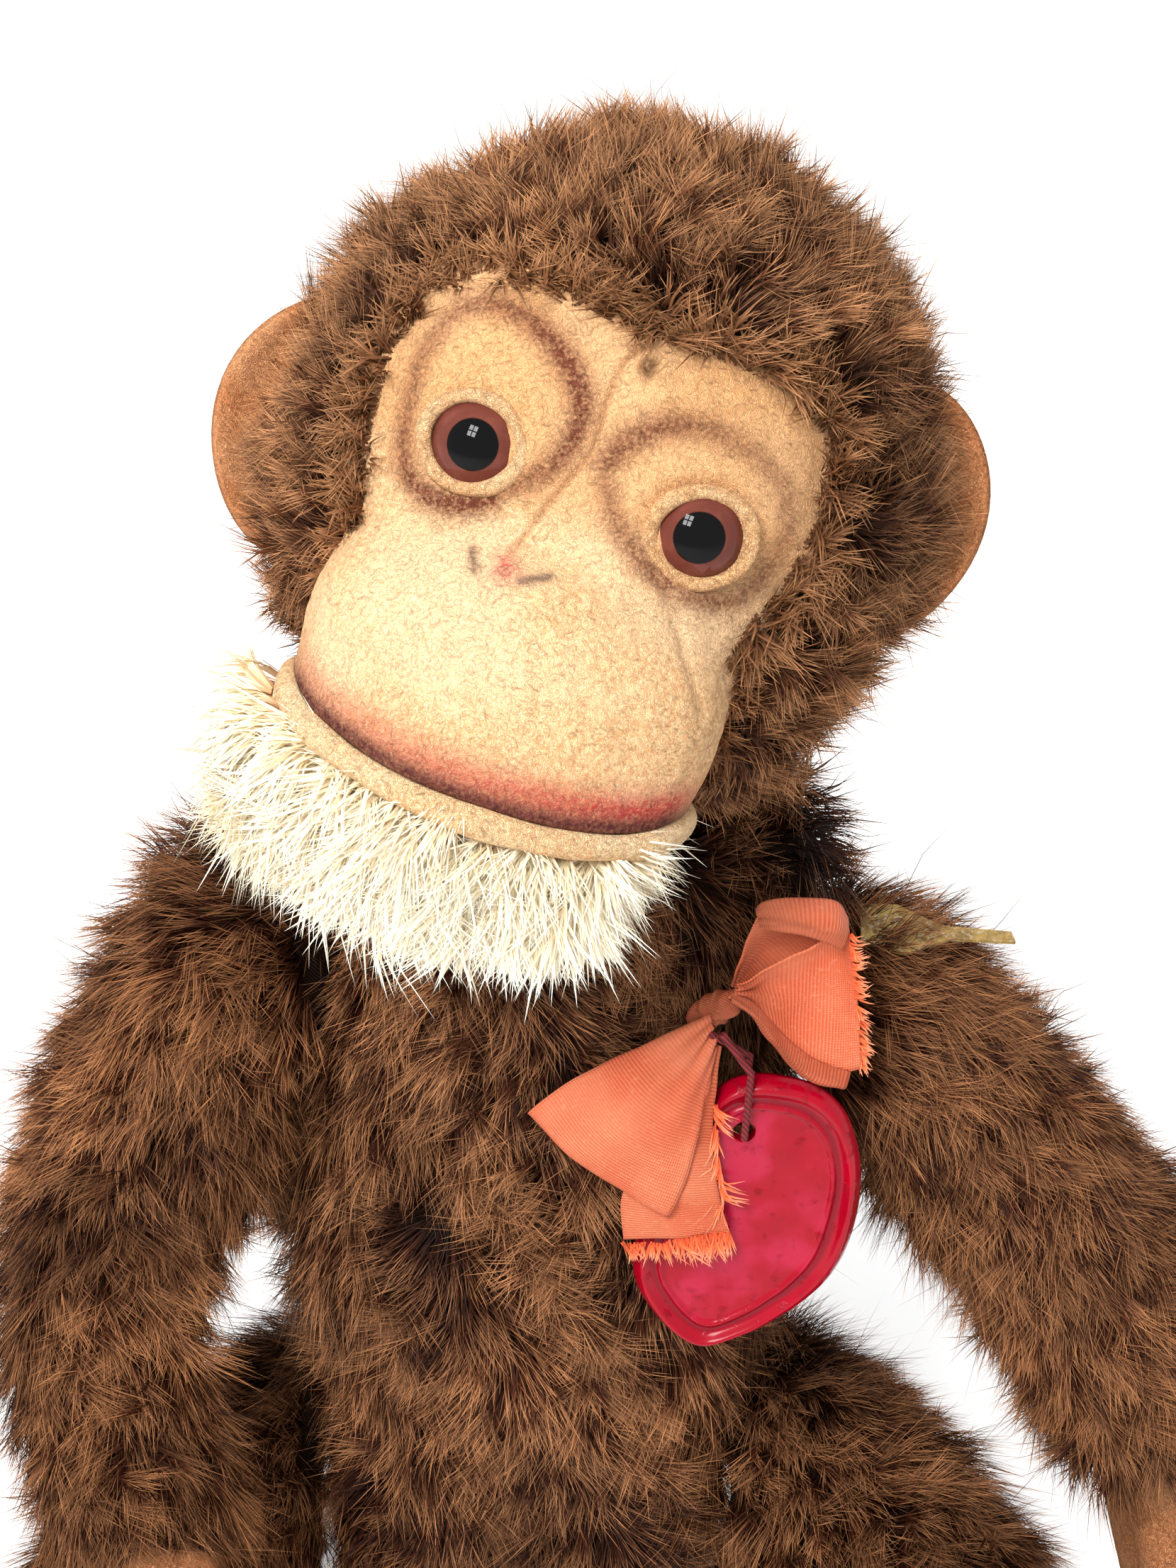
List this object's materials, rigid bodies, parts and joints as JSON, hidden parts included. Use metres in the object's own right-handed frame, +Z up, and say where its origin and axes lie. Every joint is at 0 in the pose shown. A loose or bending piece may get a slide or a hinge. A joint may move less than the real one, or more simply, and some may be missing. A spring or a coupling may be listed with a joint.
{
  "type": "mechanical stuffed monkey",
  "caption": "Seated mohair monkey whose tail is a lever that nods and turns its head, with felt face and jointed arms and legs.",
  "frame": {"origin": "middle of the seat, on the plane the monkey sits on, with the head's turning axis above it", "axes": "+Z up along the axis that the head turns about; -Y is the way the body faces; +X is the monkey's own left"},
  "size_m": [0.1863, 0.2191, 0.2297],
  "materials": {
    "brown_mohair": "mohair pile, dull brown",
    "cream_mohair": "long mohair pile, cream",
    "tan_felt": "wool felt, airbrushed round the eyes and mouth",
    "orange_tan_felt": "wool felt",
    "wood_wool": "packed wood wool",
    "hardboard": "pressed board",
    "sheet_steel": "bare mild steel",
    "brass": "turned brass",
    "eye_glass": "solid brown glass with a black pupil",
    "coral_ribbon": "ribbed ribbon",
    "crimson_plastic": "glossy moulded plastic",
    "old_gold_paper": "tarnished gilt paper",
    "red_thread": "cotton thread"
  },
  "bodies": {
    "torso": {"torso_cover": "brown_mohair", "torso_stuffing": "wood_wool", "frame_strap": "sheet_steel", "top_bush": "brass", "bottom_bush": "brass", "neck_plate": "hardboard", "left_shoulder_torso_disc": "hardboard", "right_shoulder_torso_disc": "hardboard", "left_hip_torso_disc": "hardboard", "right_hip_torso_disc": "hardboard", "left_shoulder_split_pin": "sheet_steel", "right_shoulder_split_pin": "sheet_steel", "left_hip_split_pin": "sheet_steel", "right_hip_split_pin": "sheet_steel", "ribbon_knot": "coral_ribbon", "ribbon_left_loop": "coral_ribbon", "ribbon_right_loop": "coral_ribbon"},
    "spindle": {"neck_tube": "sheet_steel", "neck_fork": "sheet_steel", "tail_fork": "sheet_steel", "nod_pin": "sheet_steel", "tail_pin": "sheet_steel"},
    "rod": {"push_rod": "sheet_steel"},
    "head": {"head_lever": "sheet_steel", "head_anchor_disc": "hardboard", "head_link_pin": "sheet_steel", "head_stuffing": "wood_wool", "head_cover": "brown_mohair", "face_felt": "tan_felt", "muzzle": "tan_felt", "lower_lip": "tan_felt", "beard": "cream_mohair", "left_ear": "orange_tan_felt", "right_ear": "orange_tan_felt", "left_eye": "eye_glass", "right_eye": "eye_glass", "left_eyelid": "tan_felt", "right_eyelid": "tan_felt", "left_eye_shank": "sheet_steel", "right_eye_shank": "sheet_steel"},
    "tail": {"tail_lever": "sheet_steel", "tail_link_pin": "sheet_steel", "tail_cover": "brown_mohair"},
    "left_arm_body": {"left_arm": "brown_mohair", "left_hand": "orange_tan_felt", "left_shoulder_limb_disc": "hardboard", "label_remnant": "old_gold_paper"},
    "right_arm_body": {"right_arm": "brown_mohair", "right_hand": "orange_tan_felt", "right_shoulder_limb_disc": "hardboard"},
    "left_leg_body": {"left_leg": "brown_mohair", "left_foot": "orange_tan_felt", "left_hip_limb_disc": "hardboard"},
    "right_leg_body": {"right_leg": "brown_mohair", "right_foot": "orange_tan_felt", "right_hip_limb_disc": "hardboard"},
    "medallion_body": {"medallion": "crimson_plastic", "medallion_thread": "red_thread", "ribbon_end": "coral_ribbon"}
  },
  "joints": [
    {"name": "head_turn", "type": "hinge", "parent": "torso", "child": "spindle", "pos_m": [0, 0, 0.1], "axis": [0, 0, 1], "range_deg": [-24, 32]},
    {"name": "head_nod", "type": "hinge", "parent": "spindle", "child": "head", "pos_m": [0.00042, 0.00598, 0.158], "axis": [0.9976, -0.0698, 0], "range_deg": [-5, 18]},
    {"name": "tail_lift", "type": "hinge", "parent": "spindle", "child": "tail", "pos_m": [0.00042, 0.00598, 0.019], "axis": [0.9976, -0.0698, 0], "range_deg": [-5, 18]},
    {"name": "left_shoulder", "type": "hinge", "parent": "torso", "child": "left_arm_body", "pos_m": [0.0319, -0.002, 0.112], "axis": [-1, 0, 0], "range_deg": [-40, 150]},
    {"name": "right_shoulder", "type": "hinge", "parent": "torso", "child": "right_arm_body", "pos_m": [-0.0319, -0.002, 0.112], "axis": [-1, 0, 0], "range_deg": [0, 90]},
    {"name": "left_hip", "type": "hinge", "parent": "torso", "child": "left_leg_body", "pos_m": [0.0319, 0, 0.024], "axis": [-1, 0, 0], "range_deg": [-90, 25]},
    {"name": "right_hip", "type": "hinge", "parent": "torso", "child": "right_leg_body", "pos_m": [-0.0319, 0, 0.024], "axis": [-1, 0, 0], "range_deg": [-90, 0]},
    {"name": "medallion_swing", "type": "hinge", "parent": "torso", "child": "medallion_body", "pos_m": [0.02, -0.0282, 0.1234], "axis": [-1, 0, 0], "range_deg": [0, 70]},
    {"name": "rod_slide", "type": "slide", "parent": "spindle", "child": "rod", "axis": [0, 0, 1], "range_m": [-0.002, 0.0006]}
  ],
  "couplings": [
    {"joint": "tail_lift", "follows": "head_nod", "ratio": 1},
    {"joint": "rod_slide", "follows": "head_nod", "m_per_rad": -0.005916}
  ]
}
